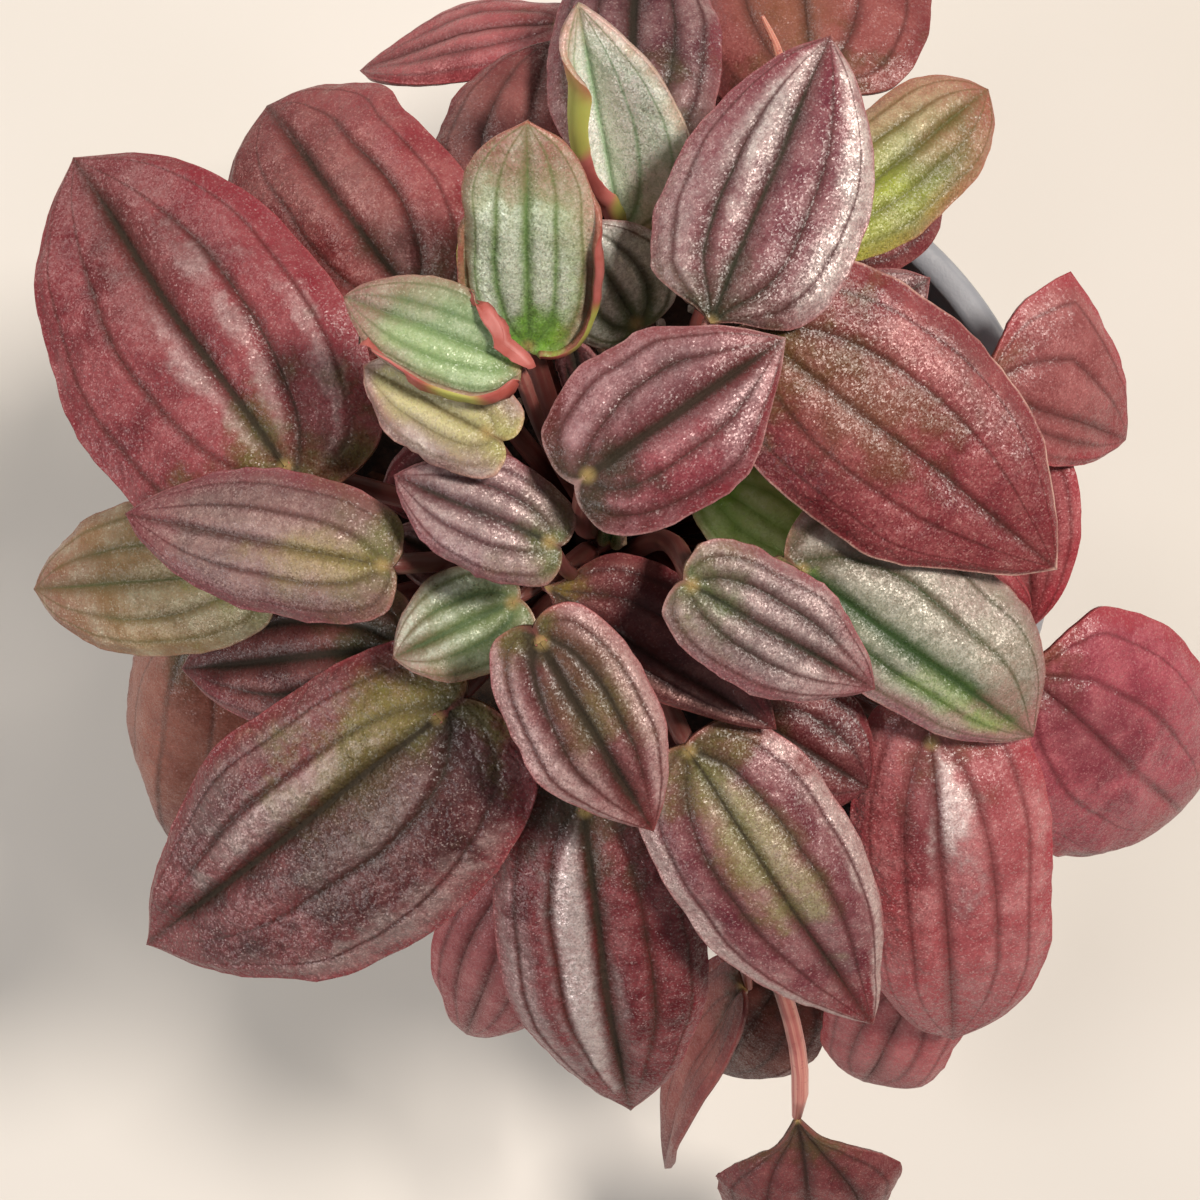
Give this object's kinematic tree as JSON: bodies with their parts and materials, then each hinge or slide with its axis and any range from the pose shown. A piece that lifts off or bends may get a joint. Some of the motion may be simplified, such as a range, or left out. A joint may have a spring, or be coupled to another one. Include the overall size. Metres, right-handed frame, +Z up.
{
  "type": "potted foliage houseplant",
  "caption": "Low dome of heart-shaped, deeply rippled burgundy and silver-green leaves on pink stalks, growing from soil in a plain round tapered nursery pot.",
  "frame": {"origin": "centre of the pot's flat foot, on the plane it stands on", "axes": "+Z up along the pot's axis; +X to the right and +Y to the top of the view from above"},
  "size_m": [0.1645, 0.219, 0.1593],
  "materials": {
    "pot": "satin blue-grey",
    "soil": "rough, damp potting mix",
    "stalk": "smooth, fleshy",
    "leaf_burgundy": "rippled, with a silvery sheen",
    "leaf_rose": "rippled, satin",
    "leaf_dark": "rippled, satin",
    "leaf_purple": "rippled, with a silvery sheen",
    "leaf_silver": "rippled, with a strong silvery sheen",
    "leaf_green": "rippled, with a silvery sheen",
    "leaf_lime": "rippled, satin"
  },
  "bodies": {
    "root": {"pot": "pot", "soil": "soil", "stems": "stalk", "leaf_hanging": "leaf_dark", "leaf_front_low": "leaf_dark", "leaf_edge_low": "leaf_dark", "leaf_front_rose": "leaf_rose", "leaf_front_left_low": "leaf_rose", "leaf_left_low": "leaf_dark", "leaf_right_edge": "leaf_rose", "leaf_right_tip": "leaf_rose", "leaf_skirt_left": "leaf_dark", "leaf_skirt_front_left": "leaf_dark", "leaf_skirt_back_left": "leaf_dark", "leaf_skirt_back": "leaf_dark", "leaf_skirt_back_right": "leaf_dark", "leaf_skirt_front": "leaf_dark", "leaf_right_fold": "leaf_rose", "leaf_right_large": "leaf_rose", "leaf_front_right": "leaf_rose", "leaf_back_right_far": "leaf_dark", "leaf_back_left_far": "leaf_rose", "leaf_back_brown": "leaf_dark", "leaf_back_purple": "leaf_purple", "leaf_under_top_right": "leaf_purple", "leaf_back_green": "leaf_lime", "leaf_under_left": "leaf_purple", "leaf_under_centre_left": "leaf_silver", "leaf_left_purple": "leaf_purple", "leaf_left_green": "leaf_green", "leaf_front_dark": "leaf_dark", "leaf_under_right_green": "leaf_green", "leaf_upper_left": "leaf_burgundy", "leaf_front_large": "leaf_burgundy", "leaf_left_front_large": "leaf_burgundy", "leaf_new_folded": "leaf_silver", "leaf_dark_small": "leaf_silver", "leaf_new_purple": "leaf_purple", "leaf_bud": "leaf_green", "leaf_upper_green": "leaf_green", "leaf_right_green": "leaf_green", "leaf_front_small_green": "leaf_green", "leaf_front_right_large": "leaf_burgundy", "leaf_centre_brown": "leaf_dark", "leaf_right_top_large": "leaf_burgundy", "leaf_upper_right": "leaf_silver", "leaf_left_large": "leaf_burgundy", "leaf_left_middle": "leaf_purple", "leaf_centre_left": "leaf_purple", "leaf_centre_pale": "leaf_lime", "leaf_new_curled": "leaf_green", "leaf_centre_right": "leaf_silver", "leaf_centre_front": "leaf_burgundy", "leaf_centre_heart": "leaf_burgundy"}
  },
  "joints": []
}
